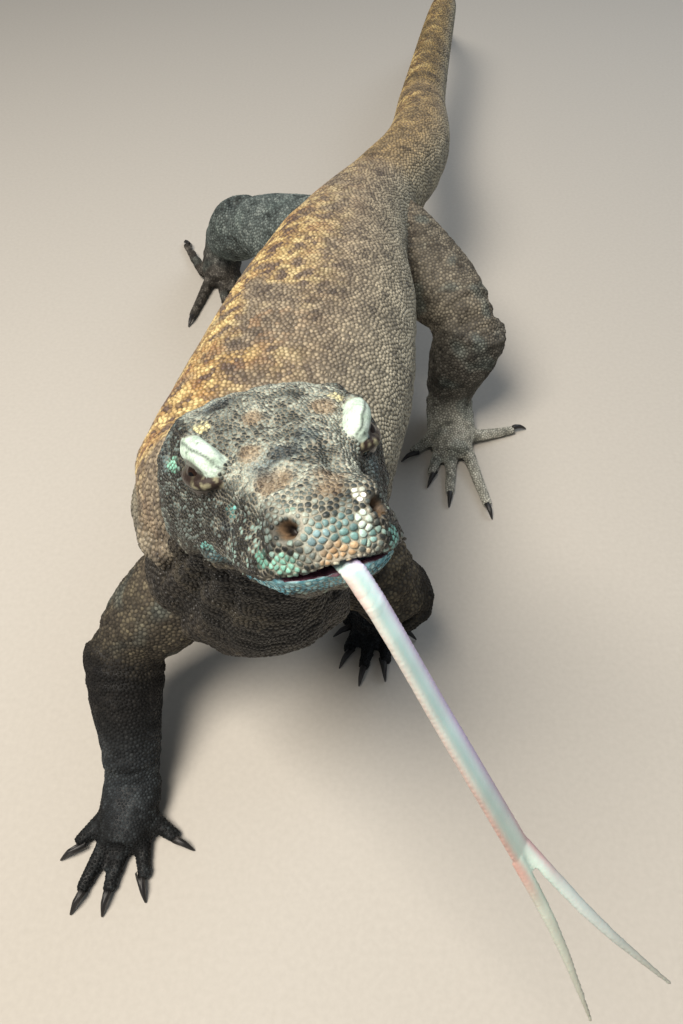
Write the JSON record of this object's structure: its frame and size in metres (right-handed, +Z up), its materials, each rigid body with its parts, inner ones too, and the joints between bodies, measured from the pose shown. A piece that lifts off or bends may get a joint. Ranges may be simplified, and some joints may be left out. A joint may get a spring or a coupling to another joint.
{
  "type": "komodo dragon model",
  "caption": "Life-size still model of a large monitor lizard standing with its head raised and its long forked tongue out, tail trailing to the floor.",
  "frame": {"origin": "middle of the underside of the whole model's box, on the floor", "axes": "+Z up; the animal faces -Y and its tail runs to +Y; +X is the animal's left side"},
  "size_m": [0.6006, 2.4848, 0.6186],
  "materials": {
    "hide": "matte pebbled scales, grey-tan with ochre speckles on the back, charcoal legs, and blue-green and cream marks on the head",
    "claw": "dark horn, satin",
    "eye": "near-black wet eye, polished",
    "tongue": "moist pale pink with a bluish-white middle stripe"
  },
  "bodies": {
    "root": {"eye_left": "eye", "eye_right": "eye", "forearm_left": "hide", "forearm_right": "hide", "front_foot_left": "hide", "front_foot_right": "hide", "front_left_claw_1": "claw", "front_left_claw_2": "claw", "front_left_claw_3": "claw", "front_left_claw_4": "claw", "front_left_claw_5": "claw", "front_right_claw_1": "claw", "front_right_claw_2": "claw", "front_right_claw_3": "claw", "front_right_claw_4": "claw", "front_right_claw_5": "claw", "head": "hide", "hind_foot_left": "hide", "hind_foot_right": "hide", "hind_left_claw_1": "claw", "hind_left_claw_2": "claw", "hind_left_claw_3": "claw", "hind_left_claw_4": "claw", "hind_left_claw_5": "claw", "hind_right_claw_1": "claw", "hind_right_claw_2": "claw", "hind_right_claw_3": "claw", "hind_right_claw_4": "claw", "hind_right_claw_5": "claw", "lower_jaw": "hide", "neck": "hide", "shin_left": "hide", "shin_right": "hide", "tail_base": "hide", "tail_middle": "hide", "tail_tip": "hide", "thigh_left": "hide", "thigh_right": "hide", "tongue": "hide", "trunk": "hide", "upper_arm_left": "hide", "upper_arm_right": "hide"}
  },
  "joints": []
}
